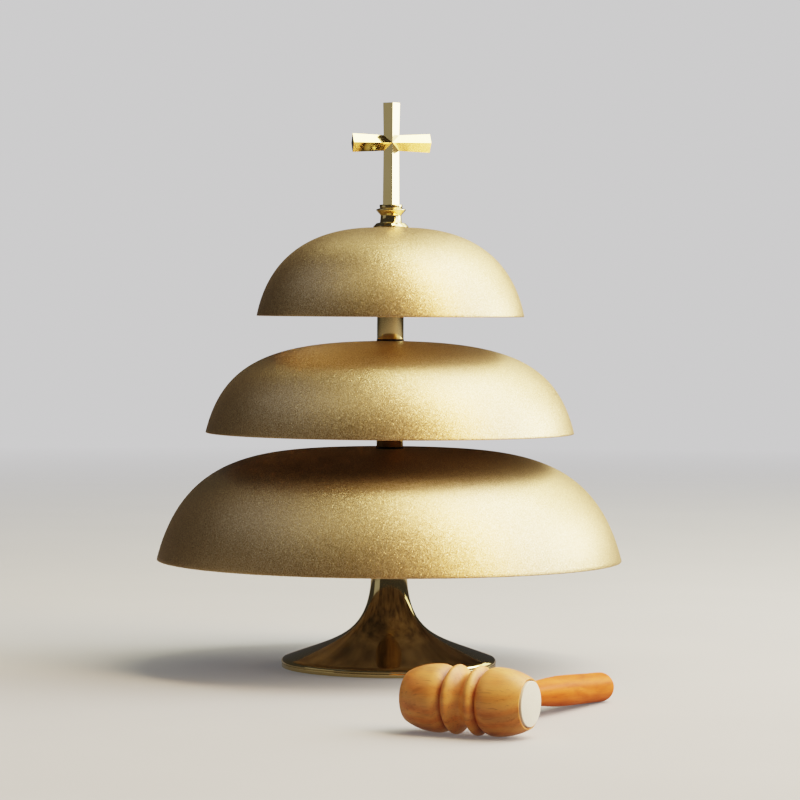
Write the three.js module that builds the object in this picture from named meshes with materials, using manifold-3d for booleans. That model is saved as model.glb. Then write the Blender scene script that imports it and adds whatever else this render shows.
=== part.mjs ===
// A sanctus bell: three gongs of rising pitch, one above another on a turned brass stand, and the
// wooden mallet that rings them. Millimetres, +Z up. The origin is the centre of the underside of
// the stand's felt pad. The mallet lies on the same surface in front of the stand, towards -Y.
import * as THREE from "three";
import { mergeVertices } from "three/addons/utils/BufferGeometryUtils.js";
import Module from "manifold-3d";

const wasm = await Module();
wasm.setup();

// ---- Driving dimensions ----

// Each gong is a dished bowl, mouth down. Its outside runs level from the axis, over a rounded
// shoulder, to a wall that leans in above the rim; the pulls set how far each end runs straight.
const GONGS = {
  large: { radius: 140, rim: 64.8, crown: 131.8, crownPull: 66.4, rimPull: 72.6, lean: 13.8 },
  middle: { radius: 111, rim: 141.2, crown: 196.6, crownPull: 72.7, rimPull: 42.9, lean: 13.4 },
  small: { radius: 80.6, rim: 211.3, crown: 264.6, crownPull: 8.7, rimPull: 60.8, lean: 11 },
};
const GONG_WALL = 2;
const GONG_HOLE = 7; // radius of the centre hole
const GONG_SEAT = 10; // radius of the flat round the hole
const GONG_STEPS = 10; // facets from axis to rim

const ROD = 4; // radius of the M8 tie rod that holds the stack together
const ROD_BOTTOM = 2;
const ROD_TOP = 272;
const TUBE = 8; // outer radius of the spacer tubes
const TUBE_WALL = 2;
const WASHER = 8.3; // radius of the felt washers above and below each gong
const WASHER_HOLE = 4.6;
const WASHER_THICK = 1;
const GROMMET = 6.6; // radius of the rubber bush in a gong's hole
const BUSH_PLAY = 0.1; // how far the bush stops short of either face of the gong

const FELT = { radius: 61.5, top: 1 };
const PLATE = { radius: 64.6, bottom: 0.3, top: 2.9, edge: 0.5, felt: 61.8 };
const BOSS = { radius: 13, top: 13.5, recess: 11, roof: 10 }; // the plate's hub, hollow for the nut
const FLARE = { radius: 64.8, lip: 3, lipHeight: 3.2, wall: 1.5, slope: 20.7, pull: 34.6 };
const NECK = { radius: 10.8, height: 59.3, pull: 40.7, topRadius: 8.8, top: 92, roof: 3 };
const WEIGHT = { hole: 13.5, radius: 50, edge: 2.6, shoulder: 38, rise: 7, crown: 26, height: 12.6 };
const NUT = { across: 13, height: 6.5 };
const NUT_WASHER = { radius: 9.5, thick: 1.2 };
const BORE_PLAY = 0.2; // between the rod or stud and its holes

const KNOB = { foot: 264.9, flange: 10.6, neck: 6.2, bead: 8.9, beadHeight: 275.5, collar: 6.9 };
const KNOB_TOP = 278.5;

const CROSS = { top: 339.7, arms: 315.5, span: 23.5, turn: 9 };
const CROSS_BAR = { foot: 5, middle: 4.75, head: 5.15, armRoot: 4.8, armEnd: 5.65 };
const STUD = 2; // radius of the M4 stud between knob and cross
const STUD_ENDS = [272.8, 285.5];

// The mallet's head is turned about its long axis, and the handle goes into its waist.
const MALLET = { x: 41.1, y: -312, yaw: 28 };
const HEAD = { half: 34, crest: 17.8, swell: 17.6, waist: 13.5, groove: 14.8, end: 12.9 };
const BARREL = { from: 16, reach: 26.6 }; // where a barrel's ellipse is widest, and its half-length
const PAD = { radius: 11.7, play: 0.6, depth: 2.5, proud: 1.0, edge: 0.4 };
const HANDLE = { tip: 168.6, grip: 8.1, belly: 8.35, shank: 4.9, tenon: -4 };
const HANDLE_SWELL = [[40, 0], [62, 0.2], [84, 0.57], [106, 1]]; // share of the swell at a distance
const TENON = { radius: 4.9, length: 22, play: 0.3 };
const LIFT = 0.1; // the mallet's play above the surface it lies on
const MALLET_SLOPE = Math.asin((HEAD.crest - HANDLE.grip) / (HANDLE.tip - HANDLE.grip));

const ROUND = 48; // sides of a gong
const FOOT = 36; // sides of the stand's foot
const TURNED = 24; // sides of the slimmer turned pieces
const SIMPLE = 16; // sides of tubes, washers and bushes

// ---- Helpers ----

const radians = THREE.MathUtils.degToRad;
const pair = (list) => list.map(([r, z]) => new THREE.Vector2(r, z));

// A solid of revolution about Y. The outline is [radius, height], up the outside, down the inside.
function turned(outline, sides) {
  return new THREE.LatheGeometry(pair(outline), sides);
}

const upright = (geometry) => geometry.rotateX(Math.PI / 2);

// A straight ring about Z, such as a tube or a washer.
function ring(inner, outer, from, to, sides) {
  return upright(
    turned([[inner, from], [outer, from], [outer, to], [inner, to], [inner, from]], sides),
  );
}

// Points on an arc of a circle, by angle in degrees from the radius axis.
function arc(centreR, centreZ, radius, from, to, steps) {
  return Array.from({ length: steps + 1 }, (_, i) => {
    const angle = radians(from + ((to - from) * i) / steps);
    return [centreR + radius * Math.cos(angle), centreZ + radius * Math.sin(angle)];
  });
}

// A rod, bar or bush as a closed solid for joining and cutting.
function solid(geometry) {
  const bare = geometry.clone();
  bare.deleteAttribute("normal");
  bare.deleteAttribute("uv");
  const merged = mergeVertices(bare, 1e-4);
  return new wasm.Manifold(
    new wasm.Mesh({
      numProp: 3,
      vertProperties: new Float32Array(merged.attributes.position.array),
      triVerts: new Uint32Array(merged.index.array),
    }),
  );
}

function geometryOf(manifold) {
  const mesh = manifold.getMesh();
  const geometry = new THREE.BufferGeometry();
  geometry.setAttribute("position", new THREE.BufferAttribute(mesh.vertProperties, 3));
  geometry.setIndex(new THREE.BufferAttribute(mesh.triVerts, 1));
  geometry.computeVertexNormals();
  return geometry;
}

const LOOKS = {
  satinBrass: { color: 0xc9ab66, roughness: 0.42, metalness: 1 },
  polishedBrass: { color: 0xd9c184, roughness: 0.12, metalness: 1 },
  steel: { color: 0x9fa2a5, roughness: 0.35, metalness: 1 },
  castIron: { color: 0x3c3c3d, roughness: 0.8, metalness: 0.6 },
  rubber: { color: 0x1d1c1b, roughness: 0.8, metalness: 0 },
  felt: { color: 0x24211f, roughness: 1, metalness: 0 },
  wood: { color: 0xc98a4b, roughness: 0.38, metalness: 0 },
  handleWood: { color: 0xc87a38, roughness: 0.42, metalness: 0 },
  whiteRubber: { color: 0xe9e7e2, roughness: 0.75, metalness: 0 },
};

function part(name, geometry, look) {
  const mesh = new THREE.Mesh(geometry, new THREE.MeshStandardMaterial(LOOKS[look]));
  mesh.name = name;
  return mesh;
}

// ---- Gongs and what seats them ----

function gongGeometry({ radius, rim, crown, crownPull, rimPull, lean }) {
  const inward = Math.sin(radians(lean));
  const upward = Math.cos(radians(lean));
  const curve = new THREE.CubicBezierCurve(
    ...pair([
      [0, crown],
      [crownPull, crown],
      [radius - rimPull * inward, rim + rimPull * upward],
      [radius, rim],
    ]),
  );
  const outside = [[GONG_HOLE, crown], [GONG_SEAT, crown]];
  const inside = [[GONG_HOLE, crown - GONG_WALL], [GONG_SEAT, crown - GONG_WALL]];
  for (let i = 1; i <= GONG_STEPS; i++) {
    const point = curve.getPoint(i / GONG_STEPS);
    const along = curve.getTangent(i / GONG_STEPS);
    if (point.x < GONG_SEAT + GONG_WALL) continue;
    outside.push([point.x, point.y]);
    inside.push([point.x + GONG_WALL * along.y, point.y - GONG_WALL * along.x]);
  }
  inside[inside.length - 1] = [radius - GONG_WALL / upward, rim];
  const outline = [...outside.reverse(), ...inside];
  return upright(turned([...outline, outline[0]], ROUND));
}

// A gong with its bush, and the felt washers that hold it off the stand's metal.
function gongSet(size) {
  const { crown } = GONGS[size];
  const under = crown - GONG_WALL;
  const washer = (from) => ring(WASHER_HOLE, WASHER, from, from + WASHER_THICK, SIMPLE);
  const bush = ring(WASHER_HOLE, GROMMET, under + BUSH_PLAY, crown - BUSH_PLAY, SIMPLE);
  return [
    part(`${size}_gong`, gongGeometry(GONGS[size]), "satinBrass"),
    part(`${size}_gong_grommet`, bush, "rubber"),
    part(`${size}_gong_lower_washer`, washer(under - WASHER_THICK), "felt"),
    part(`${size}_gong_upper_washer`, washer(crown), "felt"),
  ];
}

// ---- The stand ----

function basePlateGeometry() {
  const { radius, bottom, top, edge, felt } = PLATE;
  const hole = ROD + BORE_PLAY;
  return upright(
    turned(
      [
        [BOSS.recess, FELT.top],
        [felt, FELT.top],
        [felt, bottom],
        [radius, bottom],
        ...arc(radius - edge, top - edge, edge, 0, 90, 2),
        [BOSS.radius, top],
        [BOSS.radius, BOSS.top],
        [hole, BOSS.top],
        [hole, BOSS.roof],
        [BOSS.recess, BOSS.roof],
        [BOSS.recess, FELT.top],
      ],
      FOOT,
    ),
  );
}

// A trumpet-shaped shell: a flared foot with a round lip that seats on the plate, and a neck closed
// by a thick top.
function baseShellGeometry() {
  const steps = 8;
  const slope = radians(FLARE.slope);
  const lip = arc(FLARE.radius - FLARE.lip, FLARE.lipHeight, FLARE.lip, 0, 90 - FLARE.slope, 3);
  const foot = lip[lip.length - 1];
  const curve = new THREE.CubicBezierCurve(
    ...pair([
      [NECK.radius, NECK.height],
      [NECK.radius, NECK.height - NECK.pull],
      [foot[0] - FLARE.pull * Math.cos(slope), foot[1] + FLARE.pull * Math.sin(slope)],
      foot,
    ]),
  );
  const outside = [];
  const inside = [];
  for (let i = 0; i <= steps; i++) {
    const point = curve.getPoint(i / steps);
    const along = curve.getTangent(i / steps);
    const inner = [point.x + FLARE.wall * along.y, point.y - FLARE.wall * along.x];
    outside.push([point.x, point.y]);
    inside.push(inner);
  }
  const seatInner = [inside[inside.length - 1][0], PLATE.top];
  const hole = ROD + BORE_PLAY;
  const outline = [
    [FLARE.radius, PLATE.top],
    ...lip,
    ...outside.reverse().slice(1),
    [NECK.topRadius, NECK.top],
    [hole, NECK.top],
    [hole, NECK.top - NECK.roof],
    [NECK.topRadius - FLARE.wall, NECK.top - NECK.roof],
    ...inside,
    seatInner,
  ];
  return upright(turned([...outline, outline[0]], FOOT));
}

// The cast ballast inside the foot, its top stepped to clear the shell above it.
function baseWeightGeometry() {
  const { hole, radius, edge, shoulder, rise, crown, height } = WEIGHT;
  const floor = PLATE.top;
  return upright(
    turned(
      [
        [hole, floor],
        [radius, floor],
        [radius, floor + edge],
        [shoulder, floor + rise],
        [crown, floor + height],
        [hole, floor + height],
        [hole, floor],
      ],
      TURNED,
    ),
  );
}

function baseNutGeometry(bottom) {
  const hexagon = new THREE.Shape();
  const corner = NUT.across / 2 / Math.cos(Math.PI / 6);
  for (let i = 0; i < 6; i++) {
    const angle = (i * Math.PI) / 3;
    const place = [corner * Math.cos(angle), corner * Math.sin(angle)];
    if (i === 0) hexagon.moveTo(...place);
    else hexagon.lineTo(...place);
  }
  hexagon.holes.push(new THREE.Path().absarc(0, 0, ROD + BORE_PLAY, 0, 2 * Math.PI));
  const options = { depth: NUT.height, bevelEnabled: false, curveSegments: TURNED / 2 };
  return new THREE.ExtrudeGeometry(hexagon, options).translate(0, 0, bottom);
}

function rodGeometry(radius, from, to) {
  return upright(turned([[0, from], [radius, from], [radius, to], [0, to]], TURNED));
}

// The knob screws onto the rod from above and clamps the stack; the top washer sits in its foot.
function knobGeometry() {
  const { foot, flange, neck, bead, beadHeight, collar } = KNOB;
  const socket = WASHER + BORE_PLAY;
  const seat = GONGS.small.crown + WASHER_THICK;
  const bore = ROD + BORE_PLAY;
  const boreTop = ROD_TOP + 0.4;
  const studBore = STUD + BORE_PLAY;
  const outline = [
    [socket, foot],
    [flange, foot],
    [flange, foot + 0.4],
    [flange - 1.9, foot + 2.4],
    [neck + 0.9, foot + 2.8],
    [neck, foot + 3.6],
    [neck, foot + 7],
    [neck + 0.7, foot + 7.9],
    [bead, beadHeight - 0.4],
    [bead, beadHeight + 0.1],
    [collar - 0.4, beadHeight + 1],
    [collar, beadHeight + 1.6],
    [collar, KNOB_TOP - 0.3],
    [collar - 0.3, KNOB_TOP],
    [studBore, KNOB_TOP],
    [studBore, boreTop],
    [bore, boreTop],
    [bore, seat],
    [socket, seat],
  ];
  return upright(turned([...outline, outline[0]], SIMPLE));
}

// Two four-sided bars set corner forward, a little waisted where they cross.
function crossGeometry() {
  const { foot, middle, head, armRoot, armEnd } = CROSS_BAR;
  const { top, arms, span } = CROSS;
  const post = turned(
    [[0, KNOB_TOP], [foot, KNOB_TOP], [middle, arms], [head, top], [0, top]],
    4,
  );
  const beam = turned(
    [[0, -span], [armEnd, -span], [armRoot, 0], [armEnd, span], [0, span]],
    4,
  );
  const beamPlace = beam.rotateZ(-Math.PI / 2).translate(0, 0, arms);
  const bore = rodGeometry(STUD + BORE_PLAY, KNOB_TOP - 1, STUD_ENDS[1] + 0.5);
  return geometryOf(solid(upright(post)).add(solid(beamPlace)).subtract(solid(bore)));
}

// ---- The mallet, with its head along X and its handle along Y ----

function malletHeadGeometry() {
  const { half, crest, swell, waist, groove, end } = HEAD;
  const side = [
    [waist, 0],
    [waist + 1, 2.2],
    [crest - 0.9, 4.7],
    [crest, 6],
    [crest - 0.6, 7.6],
    [groove, 9.8],
    [swell - 1, 12],
    [swell, BARREL.from],
  ];
  for (const u of [21, 26, 30]) {
    side.push([swell * Math.sqrt(1 - ((u - BARREL.from) / BARREL.reach) ** 2), u]);
  }
  side.push([end + 0.7, half - 1], [end, half]);
  const mirrored = side.slice(1).reverse().map(([r, u]) => [r, -u]);
  const recess = PAD.radius + PAD.play;
  const outline = [
    [0, -half],
    ...mirrored,
    ...side,
    [recess, half],
    [recess, half - PAD.depth],
    [0, half - PAD.depth],
  ];
  const blank = turned(outline, TURNED).rotateZ(-Math.PI / 2);
  const bore = TENON.radius + TENON.play;
  const bottom = HANDLE.tenon - TENON.play;
  const mouth = crest + 4;
  const tenonHole = turned([[0, bottom], [bore, bottom], [bore, mouth], [0, mouth]], SIMPLE);
  return geometryOf(solid(blank).subtract(solid(tenonHole)));
}

function malletHandleGeometry() {
  const { tip, grip, belly, shank, tenon } = HANDLE;
  const outline = [
    [0, tenon],
    [TENON.radius, tenon],
    [TENON.radius, TENON.length],
    ...HANDLE_SWELL.map(([along, share]) => [shank + (belly - shank) * share, along]),
    [grip, 132],
    ...arc(0, tip - grip, grip, 0, 90, 5),
  ];
  outline[outline.length - 1][0] = 0;
  return turned(outline, SIMPLE);
}

function malletPadGeometry() {
  const { radius, edge } = PAD;
  const back = HEAD.half - PAD.depth + PAD.play;
  const front = HEAD.half + PAD.proud;
  const rim = [[radius, back], [radius, front - edge], [radius - edge, front]];
  const outline = [[0, back], ...rim, [0, front]];
  return turned(outline, TURNED).rotateZ(-Math.PI / 2);
}

// ---- Assembly ----

const nutTop = BOSS.roof - NUT_WASHER.thick;
const spacers = [
  ["lower_spacer_tube", NECK.top, GONGS.large.crown],
  ["middle_spacer_tube", GONGS.large.crown + WASHER_THICK, GONGS.middle.crown],
  ["upper_spacer_tube", GONGS.middle.crown + WASHER_THICK, GONGS.small.crown],
];

const stand = new THREE.Group();
stand.add(
  part("felt_pad", rodGeometry(FELT.radius, 0, FELT.top), "felt"),
  part("base_plate", basePlateGeometry(), "polishedBrass"),
  part("base_weight", baseWeightGeometry(), "castIron"),
  part("base_shell", baseShellGeometry(), "polishedBrass"),
  part("base_nut", baseNutGeometry(nutTop - NUT.height), "steel"),
  part("base_washer", ring(ROD + BORE_PLAY, NUT_WASHER.radius, nutTop, BOSS.roof, TURNED), "steel"),
  part("tie_rod", rodGeometry(ROD, ROD_BOTTOM, ROD_TOP), "steel"),
  part("finial_knob", knobGeometry(), "polishedBrass"),
  part("cross_stud", rodGeometry(STUD, ...STUD_ENDS), "steel"),
);
for (const [name, from, crown] of spacers) {
  const to = crown - GONG_WALL - WASHER_THICK;
  stand.add(part(name, ring(TUBE - TUBE_WALL, TUBE, from, to, SIMPLE), "polishedBrass"));
}
for (const size of Object.keys(GONGS)) stand.add(...gongSet(size));

const cross = part("cross", crossGeometry(), "polishedBrass");
cross.rotation.z = radians(CROSS.turn);
stand.add(cross);

const mallet = new THREE.Group();
mallet.add(
  part("mallet_head", malletHeadGeometry(), "wood"),
  part("mallet_handle", malletHandleGeometry(), "handleWood"),
  part("mallet_pad", malletPadGeometry(), "whiteRubber"),
);
mallet.position.set(MALLET.x, MALLET.y, HEAD.crest + LIFT);
mallet.rotation.set(-MALLET_SLOPE, 0, radians(-MALLET.yaw), "ZYX");

const sanctusBell = new THREE.Group();
sanctusBell.add(stand, mallet);

export default sanctusBell;
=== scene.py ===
"""The looks of a sanctus bell: three satin brass gongs on a polished stand, and a wooden mallet.

Everything is in metres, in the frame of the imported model: +Z up, the stand on the axis, and the
mallet on the same surface in front of it, towards -Y.
"""
import math

import bmesh
import bpy
from mathutils import Matrix, Vector


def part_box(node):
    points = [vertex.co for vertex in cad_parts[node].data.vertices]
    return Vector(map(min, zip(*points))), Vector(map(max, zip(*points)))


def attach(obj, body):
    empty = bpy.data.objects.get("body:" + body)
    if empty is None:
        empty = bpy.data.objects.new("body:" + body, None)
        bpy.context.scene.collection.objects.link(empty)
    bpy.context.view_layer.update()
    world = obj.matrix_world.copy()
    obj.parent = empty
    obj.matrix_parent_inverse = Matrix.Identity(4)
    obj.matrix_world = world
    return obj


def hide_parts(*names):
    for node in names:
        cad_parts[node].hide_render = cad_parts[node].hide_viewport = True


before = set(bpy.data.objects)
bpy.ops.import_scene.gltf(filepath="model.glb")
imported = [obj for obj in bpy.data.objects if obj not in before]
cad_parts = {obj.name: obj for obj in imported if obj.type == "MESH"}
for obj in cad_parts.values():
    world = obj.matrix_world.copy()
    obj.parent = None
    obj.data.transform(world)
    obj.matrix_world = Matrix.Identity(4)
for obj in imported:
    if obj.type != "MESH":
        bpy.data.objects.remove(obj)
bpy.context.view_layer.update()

MM = 0.001
SAME_POINT = 1e-7
GONGS = ("small", "middle", "large")
LATHE_PLACE = "lathe_place"
GONG_INSIDE = "gong_inside"
INSIDE_SHADE_OR_LIGHT = "inside_shade_or_light"

# ---- Shapes: how a gong's outside runs from its level crown to the wall above its rim ----
CROWN_PULL = {"small": 8.7 * MM, "middle": 72.7 * MM, "large": 66.4 * MM}
RIM_PULL = {"small": 60.8 * MM, "middle": 42.9 * MM, "large": 72.6 * MM}
RIM_LEAN = {"small": 11.0, "middle": 13.4, "large": 13.8}
GONG_WALL = 2 * MM
GONG_HOLE = 7 * MM
GONG_SEAT = 10 * MM
GONG_SIDES = 240
# Painted shade and light inside each gong: 1 paints the inside a dull brown shade, 0 paints it a pale light.
GONG_INSIDE_SHADE_OR_LIGHT = {"small": 0.0, "middle": 1.0, "large": 1.0}

# ---- Shapes: the holes along the stand's axis ----
TUBE_HOLE = 6 * MM
RING_HOLE = 4.6 * MM
ROD_HOLE = 4.2 * MM
STUD_HOLE = 2.2 * MM

# ---- Shapes: the mallet, which rests on the beads of its head and the tip of its handle ----
MALLET_YAW = 28
HEAD_CREST = 17.8 * MM
HEAD_GROOVE = 9.7 * MM
# How wide the painted shade in the mallet's grooves is.
GROOVE_SHADE_WIDTH = 1.8 * MM
HANDLE_TIP = 168.6 * MM
HANDLE_GRIP = 8.1 * MM
MALLET_SLOPE = math.degrees(math.asin((HEAD_CREST - HANDLE_GRIP) / (HANDLE_TIP - HANDLE_GRIP)))
PAD_RADIUS = 11.7 * MM
PAD_GAP = 0.6 * MM
PAD_DEPTH = 2.5 * MM
PAD_PROUD = 1.0 * MM

# ---- Studio ----
FLOOR_BOUNCE = (0.19, 0.165, 0.165)
FLOOR_SOLID = 0.6
FLOOR_GONE = 3.0
BACKDROP = (0.80, 0.79, 0.80, 1)
SURROUND = (0.043, 0.043, 0.046, 1)
COOL = (0.60, 0.70, 1.0)
WHITE = (0.96, 0.98, 0.98)
YELLOW = (1.0, 0.91, 0.60)
AMBER = (1.0, 0.63, 0.24)
STRAW = (1.0, 0.95, 0.68)

# ---- Camera ----
CAMERA_AT = (0.0, -1.975, 0.220)
CAMERA_LENS = 147.6
CAMERA_PITCH = 1.71
CAMERA_YAW = 0.175
CAMERA_ROLL = 0.3


# ---------------------------------------------------------------- mesh helpers

def rounded(corners, steps=4):
    """The outline through (radius, height, fillet) corners, each fillet an arc of that radius."""
    outline = []
    for i, (r, z, fillet) in enumerate(corners):
        here = Vector((r, z))
        if not fillet:
            outline.append((r, z))
            continue
        back = (Vector(corners[i - 1][:2]) - here).normalized()
        ahead = (Vector(corners[(i + 1) % len(corners)][:2]) - here).normalized()
        half = back.angle(ahead) / 2
        centre = here + (back + ahead).normalized() * (fillet / math.sin(half))
        start = here + back * (fillet / math.tan(half)) - centre
        end = here + ahead * (fillet / math.tan(half)) - centre
        turn = math.atan2(start.x * end.y - start.y * end.x, start.dot(end))
        for k in range(steps + 1):
            angle = turn * k / steps
            c, s = math.cos(angle), math.sin(angle)
            outline.append((centre.x + start.x * c - start.y * s, centre.y + start.x * s + start.y * c))
    return outline


def bezier(p0, p1, p2, p3, steps):
    """Points of a cubic curve, with its unit direction at each."""
    p0, p1, p2, p3 = (Vector(p) for p in (p0, p1, p2, p3))
    found = []
    for i in range(steps + 1):
        t = i / steps
        point = p0 * (1 - t) ** 3 + p1 * 3 * (1 - t) ** 2 * t + p2 * 3 * (1 - t) * t * t + p3 * t**3
        along = (p1 - p0) * (1 - t) ** 2 + (p2 - p1) * 2 * (1 - t) * t + (p3 - p2) * t * t
        found.append((point, along.normalized()))
    return found


def smooth_edges(mesh, sharp_angle):
    mesh.shade_smooth()
    mesh.set_sharp_from_angle(angle=math.radians(sharp_angle))


def turned(name, outline, sides=128, sharp_angle=32, axis="Z"):
    """A closed solid of revolution: the outline is (radius, height), up the outside, down the inside."""
    points = [p for i, p in enumerate(outline)
              if i == 0 or (Vector(p) - Vector(outline[i - 1])).length > SAME_POINT]
    build = bmesh.new()
    rings = []
    for r, z in points:
        if r < SAME_POINT:
            rings.append([build.verts.new((0, 0, z))])
            continue
        angles = (2 * math.pi * k / sides for k in range(sides))
        rings.append([build.verts.new((r * math.cos(a), r * math.sin(a), z)) for a in angles])
    pairs = list(zip(rings, rings[1:]))
    if len(rings[0]) > 1:
        pairs.append((rings[-1], rings[0]))
    for low, high in pairs:
        for k in range(sides):
            n = (k + 1) % sides
            if len(low) == 1 and len(high) > 1:
                build.faces.new((low[0], high[n], high[k]))
            elif len(high) == 1 and len(low) > 1:
                build.faces.new((low[k], low[n], high[0]))
            elif len(low) > 1:
                build.faces.new((low[k], low[n], high[n], high[k]))
    if axis == "X":
        build.transform(Matrix.Rotation(math.pi / 2, 4, "Y"))
    if axis == "Y":
        build.transform(Matrix.Rotation(-math.pi / 2, 4, "X"))
    mesh = bpy.data.meshes.new(name)
    build.to_mesh(mesh)
    build.free()
    smooth_edges(mesh, sharp_angle)
    piece = bpy.data.objects.new(name, mesh)
    bpy.context.collection.objects.link(piece)
    return piece


def dress(piece, material, body, node):
    """Gives a piece its material, hangs it on the body that moves it, and hides the CAD node it stands for.
    """
    piece.data.materials.clear()
    piece.data.materials.append(material)
    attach(piece, body)
    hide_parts(node)
    return piece


# ---------------------------------------------------------------- material helpers

def new_material(name):
    material = bpy.data.materials.new(name)
    material.use_nodes = True
    shader = material.node_tree.nodes["Principled BSDF"]
    return material, material.node_tree, shader


def add_node(tree, kind, inputs=None, **settings):
    node = tree.nodes.new(kind)
    for key, value in settings.items():
        setattr(node, key, value)
    for key, value in (inputs or {}).items():
        if isinstance(value, bpy.types.NodeSocket):
            tree.links.new(value, node.inputs[key])
        else:
            node.inputs[key].default_value = value
    return node


def scaled(tree, coordinates, scale):
    return add_node(tree, "ShaderNodeMapping", {"Vector": coordinates, "Scale": scale}).outputs["Vector"]


def object_coordinates(tree, scale=(1, 1, 1)):
    return scaled(tree, add_node(tree, "ShaderNodeTexCoord").outputs["Object"], scale)


def lathe_coordinates(tree, scale=(1, 1, 1)):
    """Coordinates along and across a piece as it was turned, wherever the piece now lies."""
    place = add_node(tree, "ShaderNodeAttribute", attribute_name=LATHE_PLACE).outputs["Vector"]
    return scaled(tree, place, scale)


def noise(tree, coordinates, scale, detail=2.0, roughness=0.5, distortion=0.0):
    values = {"Vector": coordinates, "Scale": scale, "Detail": detail, "Roughness": roughness,
              "Distortion": distortion}
    return add_node(tree, "ShaderNodeTexNoise", values).outputs["Fac"]


def ramp(tree, factor, stops):
    """A colour ramp from (position, (r, g, b)) stops."""
    node = add_node(tree, "ShaderNodeValToRGB", {"Fac": factor})
    elements = node.color_ramp.elements
    while len(elements) < len(stops):
        elements.new(0.5)
    for element, (position, colour) in zip(elements, stops):
        element.position = position
        element.color = (*colour, 1)
    return node.outputs["Color"]


def spread(tree, factor, low, high, start=0.0, end=1.0):
    """A factor between start and end, spread over low to high."""
    values = {"Value": factor, "From Min": start, "From Max": end, "To Min": low, "To Max": high}
    return add_node(tree, "ShaderNodeMapRange", values).outputs["Result"]


def mix(tree, factor, a, b, blend="MIX"):
    node = add_node(tree, "ShaderNodeMix", data_type="RGBA", blend_type=blend)
    for key, value in ((0, factor), (6, a), (7, b)):
        if isinstance(value, bpy.types.NodeSocket):
            tree.links.new(value, node.inputs[key])
        else:
            node.inputs[key].default_value = value
    return node.outputs[2]


def cells(tree, coordinates, scale):
    """Tiny facets, each with a random colour of its own."""
    return add_node(tree, "ShaderNodeTexVoronoi", {"Vector": coordinates, "Scale": scale}).outputs["Color"]


def flakes(tree, facets, tilt):
    """The surface normal, tilted a little and differently in each facet, as on a blasted face."""
    centred = add_node(tree, "ShaderNodeVectorMath", {0: facets, 1: (0.5, 0.5, 0.5)}, operation="SUBTRACT")
    lean = add_node(tree, "ShaderNodeVectorMath", {0: centred.outputs[0], "Scale": tilt}, operation="SCALE")
    face = add_node(tree, "ShaderNodeNewGeometry").outputs["Normal"]
    leaning = add_node(tree, "ShaderNodeVectorMath", {0: face, 1: lean.outputs[0]}, operation="ADD")
    return add_node(tree, "ShaderNodeVectorMath", {0: leaning.outputs[0]}, operation="NORMALIZE").outputs[0]


def bump(tree, height, distance, strength=1.0, under=None):
    values = {"Height": height, "Distance": distance, "Strength": strength}
    if under is not None:
        values["Normal"] = under
    return add_node(tree, "ShaderNodeBump", values).outputs["Normal"]


# ---------------------------------------------------------------- materials

def satin_brass():
    """Fine bead-blasted brass outside, with a grain that glints a little, partly from tilted facets and
    partly as a painted glint on the brightest facets, and spun brass inside.

    The inside's colour is painted: dull brown, a painted shade, on gongs whose inside value is 1, and pale, a
    painted light, where it is 0."""
    material, tree, shader = new_material("satin_brass")
    place = object_coordinates(tree)
    grain = noise(tree, place, 1500, detail=3, roughness=0.7)
    cloud = noise(tree, place, 16, detail=3)
    tone = ramp(tree, grain, [(0.38, (0.52, 0.345, 0.16)), (0.5, (0.76, 0.52, 0.25)),
                              (0.62, (1.0, 0.78, 0.45))])
    worn_and_glinting = mix(tree, spread(tree, cloud, 0.0, 0.35, 0.3, 0.7), tone, (0.69, 0.47, 0.22, 1))
    facets = cells(tree, place, 2600)
    glint = add_node(tree, "ShaderNodeSeparateColor", {"Color": facets}).outputs["Red"]
    # Painted glint: the brightest facets are painted paler, on top of the tilt of their normals below.
    worn_and_glinting = mix(tree, spread(tree, glint, 0.0, 0.6, 0.93, 0.98), worn_and_glinting, (1.0, 0.80, 0.44, 1))
    rings = noise(tree, object_coordinates(tree, scale=(0.02, 0.02, 1)), 900, detail=2)
    patina = noise(tree, place, 35, detail=5, roughness=0.65)
    # Painted shade and painted light inside: dull brown where little light reaches into the gong, pale to
    # lift the light inside the small gong.
    shaded_inside = ramp(tree, patina, [(0.35, (0.17, 0.145, 0.12)), (0.65, (0.42, 0.36, 0.29))])
    pale = ramp(tree, patina, [(0.35, (0.78, 0.75, 0.68)), (0.65, (0.92, 0.89, 0.82))])
    inside_shade_or_light = add_node(tree, "ShaderNodeAttribute", attribute_name=INSIDE_SHADE_OR_LIGHT).outputs["Fac"]
    inside = add_node(tree, "ShaderNodeAttribute", attribute_name=GONG_INSIDE).outputs["Fac"]
    tree.links.new(mix(tree, inside, worn_and_glinting, mix(tree, inside_shade_or_light, pale, shaded_inside)), shader.inputs["Base Color"])
    satin = spread(tree, grain, 0.33, 0.45)
    brushed = spread(tree, rings, 0.38, 0.62)
    tree.links.new(mix(tree, inside, satin, brushed), shader.inputs["Roughness"])
    tilt = spread(tree, glint, 0.16, 0.32, 0.93, 0.98)
    blasted = bump(tree, grain, 0.2 * MM, 0.4, under=flakes(tree, facets, tilt))
    tree.links.new(blasted, shader.inputs["Normal"])
    shader.inputs["Metallic"].default_value = 1.0
    return material


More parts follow.
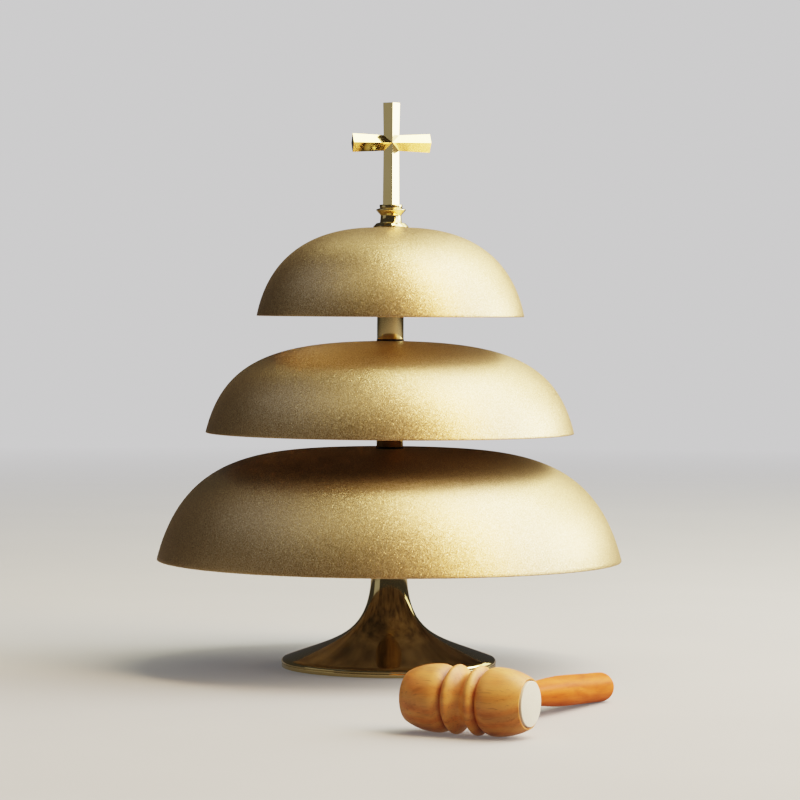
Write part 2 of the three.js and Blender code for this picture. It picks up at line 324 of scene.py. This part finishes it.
def polished_brass():
    """Mirror-polished lacquered brass with faint smears and hairline polishing marks."""
    material, tree, shader = new_material("polished_brass")
    place = object_coordinates(tree)
    smear = noise(tree, place, 45, detail=4, roughness=0.6)
    hairs = noise(tree, object_coordinates(tree, scale=(60, 60, 2600)), 1.0, detail=2)
    tone = ramp(tree, smear, [(0.3, (0.77, 0.595, 0.27)), (0.7, (0.83, 0.66, 0.33))])
    tree.links.new(tone, shader.inputs["Base Color"])
    tree.links.new(spread(tree, smear, 0.05, 0.12), shader.inputs["Roughness"])
    tree.links.new(bump(tree, hairs, 0.02 * MM, 0.08), shader.inputs["Normal"])
    shader.inputs["Metallic"].default_value = 1.0
    return material


def plain_metal(name, low, high, roughness, metallic=1.0, scale=300, depth=0.1 * MM):
    material, tree, shader = new_material(name)
    place = object_coordinates(tree)
    wear = noise(tree, place, scale, detail=4)
    tree.links.new(ramp(tree, wear, [(0.3, low), (0.7, high)]), shader.inputs["Base Color"])
    tree.links.new(spread(tree, wear, roughness - 0.07, roughness + 0.1), shader.inputs["Roughness"])
    tree.links.new(bump(tree, wear, depth, 0.3), shader.inputs["Normal"])
    shader.inputs["Metallic"].default_value = metallic
    return material


def felt():
    """Pressed wool felt: short tangled fibres with a soft sheen."""
    material, tree, shader = new_material("felt")
    place = object_coordinates(tree)
    fibres = noise(tree, place, 1500, detail=4, roughness=0.7, distortion=2.0)
    tree.links.new(ramp(tree, fibres, [(0.3, (0.012, 0.010, 0.010)), (0.7, (0.04, 0.035, 0.034))]),
                   shader.inputs["Base Color"])
    tree.links.new(bump(tree, fibres, 0.4 * MM, 0.6), shader.inputs["Normal"])
    shader.inputs["Roughness"].default_value = 0.95
    shader.inputs["Sheen Weight"].default_value = 0.4
    return material


def rubber(name, low, high):
    material, tree, shader = new_material(name)
    place = object_coordinates(tree)
    mottle = noise(tree, place, 900, detail=3)
    broad = noise(tree, place, 90, detail=2)
    both = mix(tree, 0.35, mottle, broad)
    tree.links.new(ramp(tree, both, [(0.35, low), (0.65, high)]), shader.inputs["Base Color"])
    tree.links.new(spread(tree, mottle, 0.6, 0.8), shader.inputs["Roughness"])
    tree.links.new(bump(tree, mottle, 0.1 * MM, 0.25), shader.inputs["Normal"])
    return material


def groove_shade(tree, at, width):
    """1 in the bottom of the grooves turned at a distance each side of the middle, and 0 away from them."""
    along = add_node(tree, "ShaderNodeSeparateXYZ", {"Vector": lathe_coordinates(tree)}).outputs["X"]
    off_middle = add_node(tree, "ShaderNodeMath", {0: along}, operation="ABSOLUTE").outputs[0]
    off_groove = add_node(tree, "ShaderNodeMath", {0: off_middle, 1: at}, operation="SUBTRACT").outputs[0]
    distance = add_node(tree, "ShaderNodeMath", {0: off_groove}, operation="ABSOLUTE").outputs[0]
    return spread(tree, distance, 1.0, 0.0, 0.0, width)


def wood(name, grain_axis, dark, middle, light, ring_centre, ring_scale, gloss, groove=None):
    """Lacquered turned hardwood: growth rings round an axis beside the piece, and fine fibres.

    Where the piece has grooves, their bottoms are darkened in the colour, a painted shade for the shade that
    falls in them."""
    material, tree, shader = new_material(name)

    def stretched(by):
        return lathe_coordinates(tree, (by, 1, 1) if grain_axis == "X" else (1, by, 1))

    warp = add_node(tree, "ShaderNodeTexNoise", {"Vector": stretched(0.25), "Scale": 38, "Detail": 3.0})
    moved = add_node(tree, "ShaderNodeVectorMath", {0: warp.outputs["Color"], 1: (0.020, 0.020, 0.020)},
                     operation="MULTIPLY")
    centred = add_node(tree, "ShaderNodeVectorMath", {0: lathe_coordinates(tree), 1: ring_centre},
                       operation="SUBTRACT")
    bent = add_node(tree, "ShaderNodeVectorMath", {0: centred.outputs[0], 1: moved.outputs[0]},
                    operation="ADD")
    rings = add_node(tree, "ShaderNodeTexWave",
                     {"Vector": bent.outputs[0], "Scale": ring_scale, "Distortion": 1.0, "Detail": 2.0,
                      "Detail Scale": 1.5},
                     wave_type="RINGS", rings_direction=grain_axis, wave_profile="SIN").outputs["Fac"]
    fibres = noise(tree, stretched(0.03), 2400, detail=3, roughness=0.65)
    pores = noise(tree, stretched(0.08), 1100, detail=2)
    flame = noise(tree, stretched(0.35), 62, detail=3, distortion=1.2)
    tone = ramp(tree, rings, [(0.1, middle), (0.9, light)])
    shade = ramp(tree, flame, [(0.36, dark), (0.48, middle), (0.60, light)])
    tone = mix(tree, 0.42, tone, shade)
    tone = mix(tree, spread(tree, fibres, 0.0, 0.22, 0.35, 0.75), tone, (*dark, 1))
    tone = mix(tree, spread(tree, pores, 0.35, 0.0, 0.30, 0.42), tone, (*dark, 1))
    # Painted shade: the colour is darkened in the bottoms of the grooves, where shade falls.
    if groove:
        groove_shaded = mix(tree, 0.7, tone, (*dark, 1), blend="MULTIPLY")
        tone = mix(tree, groove_shade(tree, groove, GROOVE_SHADE_WIDTH), tone, groove_shaded)
    tree.links.new(tone, shader.inputs["Base Color"])
    tree.links.new(spread(tree, fibres, 0.40, 0.56), shader.inputs["Roughness"])
    tree.links.new(bump(tree, fibres, 0.08 * MM, 0.25), shader.inputs["Normal"])
    shader.inputs["Specular IOR Level"].default_value = gloss
    shader.inputs["Coat Weight"].default_value = gloss
    shader.inputs["Coat Roughness"].default_value = 0.3
    return material


def floor_surface():
    """A matt pale floor that fades into the backdrop's tone away from the object, so no horizon shows.

    It throws less light back on the object than it shows, as a darker floor would."""
    material, tree, shader = new_material("pale_floor")
    place = object_coordinates(tree)
    mottle = noise(tree, place, 6, detail=3)
    pale = ramp(tree, mottle, [(0.3, (0.49, 0.485, 0.49)), (0.7, (0.51, 0.505, 0.51))])
    seen = add_node(tree, "ShaderNodeLightPath").outputs["Is Camera Ray"]
    tree.links.new(mix(tree, seen, (*FLOOR_BOUNCE, 1), pale), shader.inputs["Base Color"])
    shader.inputs["Roughness"].default_value = 0.8
    shader.inputs["Specular IOR Level"].default_value = 0.1
    shader.inputs["Emission Color"].default_value = (0.9, 0.89, 0.9, 1)
    shader.inputs["Emission Strength"].default_value = 0.1
    distance = add_node(tree, "ShaderNodeVectorMath", {0: place}, operation="LENGTH").outputs["Value"]
    solid = spread(tree, distance, 1.0, 0.0, FLOOR_SOLID, FLOOR_GONE)
    tree.links.new(solid, shader.inputs["Alpha"])
    return material


SATIN = satin_brass()
POLISHED = polished_brass()
STEEL = plain_metal("steel", (0.42, 0.43, 0.44), (0.6, 0.6, 0.61), 0.32)
IRON = plain_metal("cast_iron", (0.018, 0.018, 0.02), (0.05, 0.05, 0.052), 0.7, metallic=0.3, scale=700,
                   depth=0.4 * MM)
FELT = felt()
BLACK_RUBBER = rubber("black_rubber", (0.010, 0.010, 0.010), (0.025, 0.024, 0.024))
WHITE_RUBBER = rubber("white_rubber", (0.76, 0.725, 0.60), (0.84, 0.805, 0.68))
HEAD_WOOD = wood("head_wood", "X", (0.28, 0.075, 0.020), (0.88, 0.315, 0.080), (1.0, 0.465, 0.135),
                 (0.0, 0.034, -0.026), 50, gloss=0.35, groove=HEAD_GROOVE)
HANDLE_WOOD = wood("handle_wood", "Y", (0.32, 0.052, 0.006), (0.66, 0.130, 0.018), (0.86, 0.205, 0.034),
                   (0.03, 0.0, -0.03), 62, gloss=0.06)


# ---------------------------------------------------------------- the gongs

def gong_outline(size):
    """A gong's profile in two stretches: the outer face up to the hole, and the inner face back down."""
    low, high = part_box(f"{size}_gong")
    radius, rim, crown = high.x, low.z, high.z
    lean = math.radians(RIM_LEAN[size])
    curve = bezier((0, crown), (CROWN_PULL[size], crown),
                   (radius - RIM_PULL[size] * math.sin(lean), rim + RIM_PULL[size] * math.cos(lean)),
                   (radius, rim), 96)
    crown_inside = crown - GONG_WALL
    outside = [(GONG_SEAT, crown)]
    inside = [(GONG_SEAT, crown_inside)]
    for point, along in curve[1:-1]:
        if point.x < GONG_SEAT + GONG_WALL:
            continue
        outside.append((point.x, min(point.y, crown)))
        inside.append((point.x + GONG_WALL * along.y, min(point.y - GONG_WALL * along.x, crown_inside)))
    edge = 0.35 * MM
    rim_inside = radius - GONG_WALL / math.cos(lean)
    bottom = rounded([(outside[-1][0], outside[-1][1], 0), (inside[-1][0], inside[-1][1], 0),
                      (rim_inside, rim, edge), (radius, rim, edge)], steps=3)[2:]
    top = rounded([(GONG_SEAT, crown, 0), (GONG_HOLE, crown, 0.3 * MM), (GONG_HOLE, crown_inside, 0.3 * MM),
                   (GONG_SEAT, crown_inside, 0)], steps=3)[1:-1]
    return bottom[4:] + outside[::-1] + top, inside + bottom[:4]


def make_gongs():
    for size in GONGS:
        outer, inner = gong_outline(size)
        gong = turned(f"{size}_gong_spun", outer + inner, sides=GONG_SIDES, sharp_angle=50)
        mask = gong.data.attributes.new(GONG_INSIDE, "FLOAT", "POINT")
        # The inside value paints shade (1) or light (0) inside this gong.
        inside_shade_or_light = gong.data.attributes.new(INSIDE_SHADE_OR_LIGHT, "FLOAT", "POINT")
        for vertex in gong.data.vertices:
            mask.data[vertex.index].value = vertex.index // GONG_SIDES >= len(outer)
            inside_shade_or_light.data[vertex.index].value = GONG_INSIDE_SHADE_OR_LIGHT[size]
        dress(gong, SATIN, f"{size}_gong", f"{size}_gong")


# ---------------------------------------------------------------- the stand

def tube(name, node, hole, edge, material, body="stand", sides=96):
    """A tube or washer with rounded edges, in the place of a CAD node."""
    low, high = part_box(node)
    outline = rounded([(hole, low.z, edge), (high.x, low.z, edge), (high.x, high.z, edge),
                       (hole, high.z, edge)])
    return dress(turned(name, outline, sides=sides), material, body, node)


def make_spacers_and_washers():
    for place in ("lower", "middle", "upper"):
        tube(f"{place}_post_tube", f"{place}_spacer_tube", TUBE_HOLE, 0.25 * MM, POLISHED)
    for size in GONGS:
        for side in ("lower", "upper"):
            node = f"{size}_gong_{side}_washer"
            tube(f"{size}_{side}_felt_ring", node, RING_HOLE, 0.3 * MM, FELT)
        tube(f"{size}_rubber_bush", f"{size}_gong_grommet", RING_HOLE, 0.3 * MM, BLACK_RUBBER,
             body=f"{size}_gong")


def make_base():
    low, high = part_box("felt_pad")
    pad = rounded([(0, low.z, 0), (high.x, low.z, 0.3 * MM), (high.x, high.z, 0.3 * MM), (0, high.z, 0)])
    dress(turned("felt_base_pad", pad), FELT, "stand", "felt_pad")
    felt_top = high.z

    low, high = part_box("base_plate")
    shell_low, shell_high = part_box("base_shell")
    seat = shell_low.z
    felt_edge, boss, recess, roof = 61.8 * MM, 13 * MM, 11 * MM, 10 * MM
    plate = rounded([(recess, felt_top, 0.2 * MM), (felt_edge, felt_top, 0), (felt_edge, low.z, 0.15 * MM),
                     (high.x, low.z, 0.3 * MM), (high.x, seat, 0.35 * MM), (boss, seat, 0.4 * MM),
                     (boss, high.z, 0.6 * MM), (ROD_HOLE, high.z, 0.2 * MM), (ROD_HOLE, roof, 0),
                     (recess, roof, 0.4 * MM)])
    dress(turned("base_rim_plate", plate, sides=192), POLISHED, "stand", "base_plate")

    dress(turned("trumpet_base", base_outline(shell_low, shell_high), sides=192), POLISHED, "stand",
          "base_shell")


def base_outline(low, high):
    """The trumpet's wall: a concave flare from the neck, a round lip at the foot, and a seat on the plate."""
    wall, lip, lip_height = 1.5 * MM, 3 * MM, 3.2 * MM
    neck, neck_height, neck_pull = 10.8 * MM, 59.3 * MM, 40.7 * MM
    flare_pull, slope = 34.6 * MM, math.radians(20.7)
    foot_radius = high.x - lip + lip * math.sin(slope)
    foot_height = lip_height + lip * math.cos(slope)
    curve = bezier((neck, neck_height), (neck, neck_height - neck_pull),
                   (foot_radius - flare_pull * math.cos(slope), foot_height + flare_pull * math.sin(slope)),
                   (foot_radius, foot_height), 72)
    outside = [(p.x, p.y) for p, _ in curve]
    for k in range(1, 9):
        angle = (math.pi / 2 - slope) * (1 - k / 8)
        outside.append((high.x - lip + lip * math.cos(angle), lip_height + lip * math.sin(angle)))
    inside = [(p.x + wall * d.y, p.y - wall * d.x) for p, d in curve]
    top_radius, roof = 8.8 * MM, 3 * MM
    neck_top = rounded([(neck, neck_height, 0), (top_radius, high.z, 0.4 * MM), (ROD_HOLE, high.z, 0),
                        (ROD_HOLE, high.z - roof, 0), (top_radius - wall, high.z - roof, 0), (*inside[0], 0)])
    seat = [(high.x - 0.15 * MM, low.z)]
    return seat + outside[::-1] + neck_top[1:-1] + inside + [(inside[-1][0], low.z)]


def make_knob():
    low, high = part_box("finial_knob")
    foot, flange, top = low.z, high.x, high.z
    neck, bead, collar = 6.2 * MM, 8.9 * MM, 6.9 * MM
    bead_height = 275.5 * MM
    socket, seat = 8.5 * MM, 265.6 * MM
    bore_top = 272.4 * MM
    outline = rounded([
        (socket, foot, 0), (flange, foot, 0.15 * MM), (flange, foot + 0.45 * MM, 0.15 * MM),
        (flange - 1.9 * MM, foot + 2.45 * MM, 0.3 * MM), (neck + 0.4 * MM, foot + 2.9 * MM, 0.3 * MM),
        (neck + 0.15 * MM, foot + 5 * MM, 1.5 * MM), (neck, foot + 7.2 * MM, 0.5 * MM),
        (bead, bead_height - 0.4 * MM, 0.2 * MM), (bead, bead_height + 0.1 * MM, 0.2 * MM),
        (collar - 0.4 * MM, bead_height + 1.0 * MM, 0.2 * MM), (collar, bead_height + 1.5 * MM, 0.3 * MM),
        (collar, top, 0.35 * MM), (STUD_HOLE, top, 0), (STUD_HOLE, bore_top, 0), (ROD_HOLE, bore_top, 0),
        (ROD_HOLE, seat, 0), (socket, seat, 0)])
    dress(turned("turned_knob", outline, sides=128), POLISHED, "stand", "finial_knob")


def make_cross():
    """Two square bars set corner forward, mitred where they cross, each arm a little wider at its end."""
    low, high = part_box("cross")
    turn = math.radians(9)
    foot, middle, head, arm_end = 5 * MM, 4.75 * MM, 5.15 * MM, 5.65 * MM
    centre = 315.5 * MM
    span = 23.5 * MM
    bore_depth = 7.5 * MM
    build = bmesh.new()
    crossing = {side: build.verts.new((0, side * middle, centre)) for side in (-1, 1)}
    corners = {(x, z): build.verts.new((x * middle, 0, centre + z * middle))
               for x in (-1, 1) for z in (-1, 1)}
    arms = [("x", 1, span, arm_end), ("x", -1, span, arm_end), ("z", 1, high.z - centre, head),
            ("z", -1, centre - low.z, foot)]
    foot_loop = None
    for direction, sign, length, half in arms:
        def place(across, depth):
            if direction == "x":
                return (sign * length, depth, centre + across)
            return (across, depth, centre + sign * length)
        ends = {(0, -1): build.verts.new(place(0, -half)), (1, 0): build.verts.new(place(half, 0)),
                (0, 1): build.verts.new(place(0, half)), (-1, 0): build.verts.new(place(-half, 0))}
        for across in (-1, 1):
            corner = corners[(sign, across)] if direction == "x" else corners[(across, sign)]
            for depth in (-1, 1):
                build.faces.new((crossing[depth], ends[(0, depth)], ends[(across, 0)], corner))
        loop = [ends[k] for k in ((0, -1), (1, 0), (0, 1), (-1, 0))]
        if direction == "z" and sign == -1:
            foot_loop = loop
        else:
            build.faces.new(loop)
    sides = 16
    mouth = [build.verts.new((STUD_HOLE * math.cos(a), STUD_HOLE * math.sin(a), low.z))
             for a in (2 * math.pi * k / sides for k in range(sides))]
    blind = [build.verts.new((v.co.x, v.co.y, low.z + bore_depth)) for v in mouth]
    mouth_edges = [build.edges.new((mouth[k], mouth[(k + 1) % sides])) for k in range(sides)]
    foot_edges = [build.edges.get((foot_loop[k], foot_loop[(k + 1) % 4])) for k in range(4)]
    bmesh.ops.bridge_loops(build, edges=mouth_edges + foot_edges)
    for k in range(sides):
        n = (k + 1) % sides
        build.faces.new((mouth[k], mouth[n], blind[n], blind[k]))
    build.faces.new(blind)
    bmesh.ops.recalc_face_normals(build, faces=build.faces)
    build.transform(Matrix.Rotation(turn, 4, "Z"))
    mesh = bpy.data.meshes.new("faceted_cross")
    build.to_mesh(mesh)
    build.free()
    cross = bpy.data.objects.new("faceted_cross", mesh)
    bpy.context.collection.objects.link(cross)
    edge = cross.modifiers.new("softened_edges", "BEVEL")
    edge.width = 0.12 * MM
    edge.segments = 2
    edge.angle_limit = math.radians(30)
    edge.harden_normals = True
    smooth_edges(mesh, 25)
    dress(cross, POLISHED, "stand", "cross")


def finish_hidden_parts():
    """The pieces inside keep their CAD shapes."""
    for node, material in (("tie_rod", STEEL), ("cross_stud", STEEL), ("base_nut", STEEL),
                           ("base_washer", STEEL), ("base_weight", IRON)):
        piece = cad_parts[node]
        piece.data.materials.clear()
        piece.data.materials.append(material)
        smooth_edges(piece.data, 30)


# ---------------------------------------------------------------- the mallet

def lay_down(piece, place):
    """Moves a mesh to its place, and keeps each point's place on the lathe for the grain to follow."""
    lathe = piece.data.attributes.new(LATHE_PLACE, "FLOAT_VECTOR", "POINT")
    for vertex in piece.data.vertices:
        lathe.data[vertex.index].vector = vertex.co
    piece.data.transform(place)


def mallet_place():
    low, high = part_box("mallet_head")
    centre = (low + high) / 2
    turn = Matrix.Rotation(math.radians(-MALLET_YAW), 4, "Z")
    slope = Matrix.Rotation(math.radians(-MALLET_SLOPE), 4, "X")
    return Matrix.Translation(centre) @ (turn @ slope)


def head_outline():
    """The head's profile along its axis: a waist between two beads, then a groove and a barrel each side.

    The back end is plain, and the front end has the recess for the pad."""
    crest = HEAD_CREST
    half, swell, waist, groove, end = (v * MM for v in (34, 17.6, 13.5, 14.8, 12.9))
    side = [(waist, 0), (waist + 0.25 * MM, 1.0 * MM), (waist + 1.0 * MM, 2.2 * MM),
            (waist + 2.2 * MM, 3.3 * MM), (crest - 1.0 * MM, 4.5 * MM), (crest - 0.25 * MM, 5.4 * MM),
            (crest, 6.1 * MM),
            (crest - 0.2 * MM, 7.0 * MM), (crest - 0.9 * MM, 8.0 * MM), (groove + 0.4 * MM, 9.3 * MM),
            (groove, HEAD_GROOVE), (groove + 0.2 * MM, 10.1 * MM), (swell - 1.5 * MM, 11.4 * MM),
            (swell - 0.6 * MM, 12.9 * MM), (swell - 0.12 * MM, 14.6 * MM)]
    bulge_start, bulge_length = 16 * MM, 26.6 * MM
    for k in range(13):
        u = bulge_start + (half - 1.2 * MM - bulge_start) * k / 12
        side.append((swell * math.sqrt(1 - ((u - bulge_start) / bulge_length) ** 2), u))
    recess = PAD_RADIUS + PAD_GAP
    front_end = rounded([(*side[-1], 0), (end + 0.1 * MM, half, 0.25 * MM), (recess, half, 0.1 * MM),
                         (recess, half - PAD_DEPTH, 0), (0, half - PAD_DEPTH, 0)])[1:]
    back_end = rounded([(0, -half, 0), (end + 0.1 * MM, -half, 2 * MM),
                        (side[-1][0], -side[-1][1], 0)])[:-1]
    return back_end + [(r, -u) for r, u in side[:0:-1]] + side + front_end, half


def make_mallet():
    place = mallet_place()
    outline, half = head_outline()
    head = turned("mallet_turned_head", outline, sides=160, sharp_angle=60, axis="X")
    handle_profile = [(0, -4), (4.9, -4), (4.9, 22), (4.9, 40), (5.15, 51), (5.6, 62), (6.2, 73), (6.9, 84),
                      (7.7, 95), (8.2, 106), (8.33, 116), (8.25, 128), (8.12, 144)]
    handle_outline = [(r * MM, y * MM) for r, y in handle_profile]
    tip, grip = HANDLE_TIP, HANDLE_GRIP
    for k in range(13):
        angle = math.pi / 2 * k / 12
        handle_outline.append((grip * math.cos(angle), tip - grip + grip * math.sin(angle)))
    handle = turned("mallet_turned_handle", handle_outline, sides=96, sharp_angle=60, axis="Y")
    back, front = half - PAD_DEPTH + PAD_GAP, half + PAD_PROUD
    pad_outline = rounded([(0, back, 0), (PAD_RADIUS, back, 0), (PAD_RADIUS, front, 0.4 * MM), (0, front, 0)])
    pad = turned("mallet_striking_pad", pad_outline, sides=128, axis="X")
    for piece, material, slot, node in ((head, HEAD_WOOD, "head_wood", "mallet_head"),
                                        (handle, HANDLE_WOOD, "handle_wood", "mallet_handle"),
                                        (pad, WHITE_RUBBER, "white_rubber", "mallet_pad")):
        lay_down(piece, place)
        dress(piece, material, "mallet", node)


# ---------------------------------------------------------------- floor, lights and camera

def make_floor():
    bpy.ops.mesh.primitive_circle_add(vertices=96, radius=30, fill_type="NGON", location=(0, 0, 0))
    floor = bpy.context.object
    floor.name = "studio_floor"
    floor.data.materials.append(floor_surface())


def softbox(name, azimuth, elevation, distance, size, radiance, colour=(1, 1, 1), aim=(0, 0, 0.17)):
    """A rectangular light facing the stand. Azimuth 0 is in front, at -Y, and 90 is to the right."""
    a, e = math.radians(azimuth), math.radians(elevation)
    back = Vector((math.sin(a) * math.cos(e), -math.cos(a) * math.cos(e), math.sin(e)))
    data = bpy.data.lights.new(name, "AREA")
    data.shape = "RECTANGLE"
    data.size, data.size_y = size
    data.energy = math.pi * size[0] * size[1] * radiance
    data.color = colour
    light = bpy.data.objects.new(name, data)
    light.location = Vector(aim) + back * distance
    light.rotation_euler = (-back).to_track_quat("-Z", "Y").to_euler()
    bpy.context.collection.objects.link(light)


def make_lights():
    """A broad softbox on the right gives the satin gongs their long highlight, with an amber edge towards
    the front and a yellow one behind it. The small low light whitens the right-hand faces of the cross, the
    top and back lights lift the crowns, and the rest fill the shaded side."""
    softbox("key", 84, 40, 2.0, (2.0, 2.6), 4.8, WHITE)
    softbox("key_amber", 50, 42, 2.0, (0.6, 2.4), 8, AMBER)
    softbox("key_edge", 125, 33, 2.1, (1.5, 2.3), 3.0, YELLOW)
    softbox("low", 107, 3, 0.9, (0.37, 0.16), 9, aim=(0, 0, 0.315))
    softbox("top", 116, 81, 2.2, (0.5, 0.5), 11, STRAW)
    softbox("front", -28, 57, 2.2, (1.7, 1.2), 0.48, STRAW)
    softbox("fill", -80, 45, 2.2, (2.2, 1.2), 0.28, COOL)
    softbox("strip", -80, 3, 2.2, (1.6, 0.5), 0.24)
    softbox("back", -175, 60, 2.2, (1.6, 1.4), 0.7, STRAW)
    softbox("back_right", 155, 32, 2.2, (1.0, 0.9), 1.6, STRAW)


def make_world():
    world = bpy.data.worlds.new("studio")
    bpy.context.scene.world = world
    world.use_nodes = True
    tree = world.node_tree
    background = tree.nodes["Background"]
    seen = add_node(tree, "ShaderNodeLightPath").outputs["Is Camera Ray"]
    tree.links.new(mix(tree, seen, SURROUND, BACKDROP), background.inputs["Color"])
    background.inputs["Strength"].default_value = 1.0


def make_camera():
    data = bpy.data.cameras.new("camera")
    data.lens = CAMERA_LENS
    data.sensor_width = 36
    camera = bpy.data.objects.new("camera", data)
    turn = Matrix.Rotation(math.radians(-CAMERA_YAW), 4, "Z")
    tilt = Matrix.Rotation(math.radians(90 - CAMERA_PITCH), 4, "X")
    roll = Matrix.Rotation(math.radians(CAMERA_ROLL), 4, "Z")
    camera.matrix_world = Matrix.Translation(CAMERA_AT) @ turn @ tilt @ roll
    bpy.context.collection.objects.link(camera)
    bpy.context.scene.camera = camera


make_camera()
make_world()
make_lights()
make_floor()
make_gongs()
make_spacers_and_washers()
make_base()
make_knob()
make_cross()
finish_hidden_parts()
make_mallet()
bpy.context.scene.view_settings.view_transform = "Filmic"
bpy.context.scene.view_settings.look = "Medium High Contrast"

bpy.context.view_layer.update()
